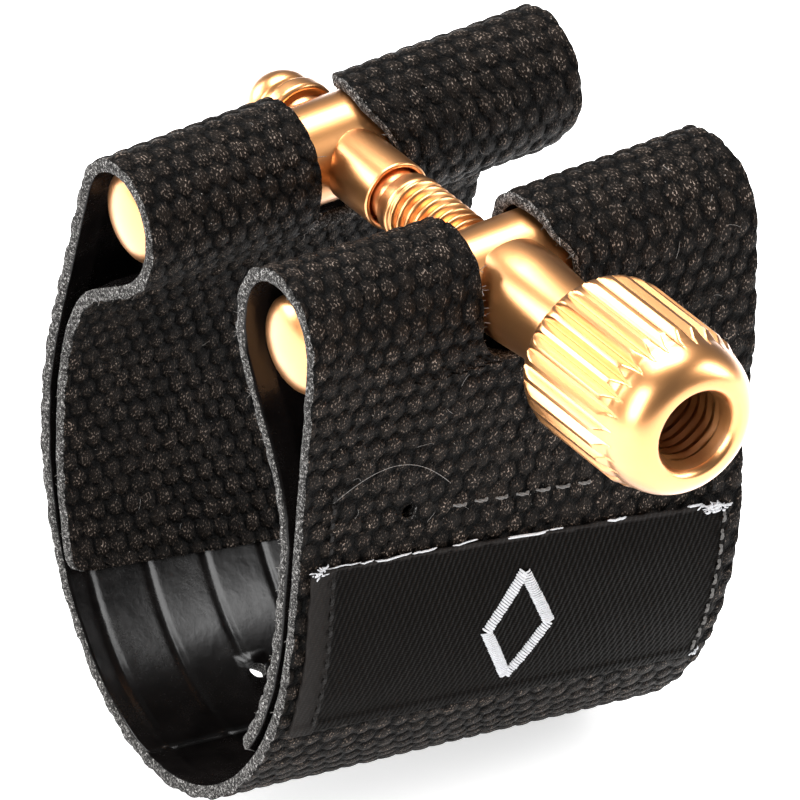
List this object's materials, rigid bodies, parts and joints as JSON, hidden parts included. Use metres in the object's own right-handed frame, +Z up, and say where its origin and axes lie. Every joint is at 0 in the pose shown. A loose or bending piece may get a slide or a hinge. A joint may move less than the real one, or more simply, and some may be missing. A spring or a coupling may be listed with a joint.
{
  "type": "saxophone ligature",
  "caption": "Woven-and-rubber strap ligature with gold crossbars, a threaded stud and a knurled thumb nut that tightens it on a mouthpiece.",
  "frame": {"origin": "on the mouthpiece axis at the strap's mid-length", "axes": "+X along the mouthpiece towards its wide shank end, +Z up to the screw, the thumb nut on the -Y side"},
  "size_m": [0.0286, 0.0448, 0.0412],
  "materials": {
    "woven_laminate": "coarse black weave outside, smooth black rubber inside",
    "gold_satin": "satin gold plating",
    "label_satin": "black satin ribbon",
    "thread_black": "sewing thread",
    "thread_grey": "sewing thread"
  },
  "bodies": {
    "far_side": {"strap_far_half": "woven_laminate", "far_crossbar": "gold_satin", "stud": "gold_satin", "head_washer": "gold_satin", "stud_sleeve": "gold_satin"},
    "near_bar": {"near_crossbar": "gold_satin", "near_collar": "gold_satin"},
    "nut": {"thumb_nut": "gold_satin"},
    "near_band": {"strap_near_half": "woven_laminate", "label": "label_satin", "seam_stitches": "thread_grey", "fold_stitches_left": "thread_black", "fold_stitches_right": "thread_black", "label_stitches_left": "thread_black", "label_stitches_right": "thread_black"}
  },
  "joints": [
    {"name": "near_bar_slide", "type": "slide", "parent": "far_side", "child": "near_bar", "axis": [0, 1, 0], "range_m": [-0.0007, 0.003]},
    {"name": "nut_spin", "type": "hinge", "parent": "near_bar", "child": "nut", "pos_m": [0, -0.0242, 0.0205], "axis": [0, 1, 0], "range_deg": [-370, 1560]},
    {"name": "band_flex", "type": "hinge", "parent": "far_side", "child": "near_band", "pos_m": [0, -0.0099, -0.0063], "axis": [1, 0, 0], "range_deg": [-6.6, 1.6]}
  ],
  "couplings": [
    {"joint": "nut_spin", "follows": "near_bar_slide", "rad_per_m": 8976},
    {"joint": "band_flex", "follows": "near_bar_slide", "rad_per_m": -37.313}
  ]
}
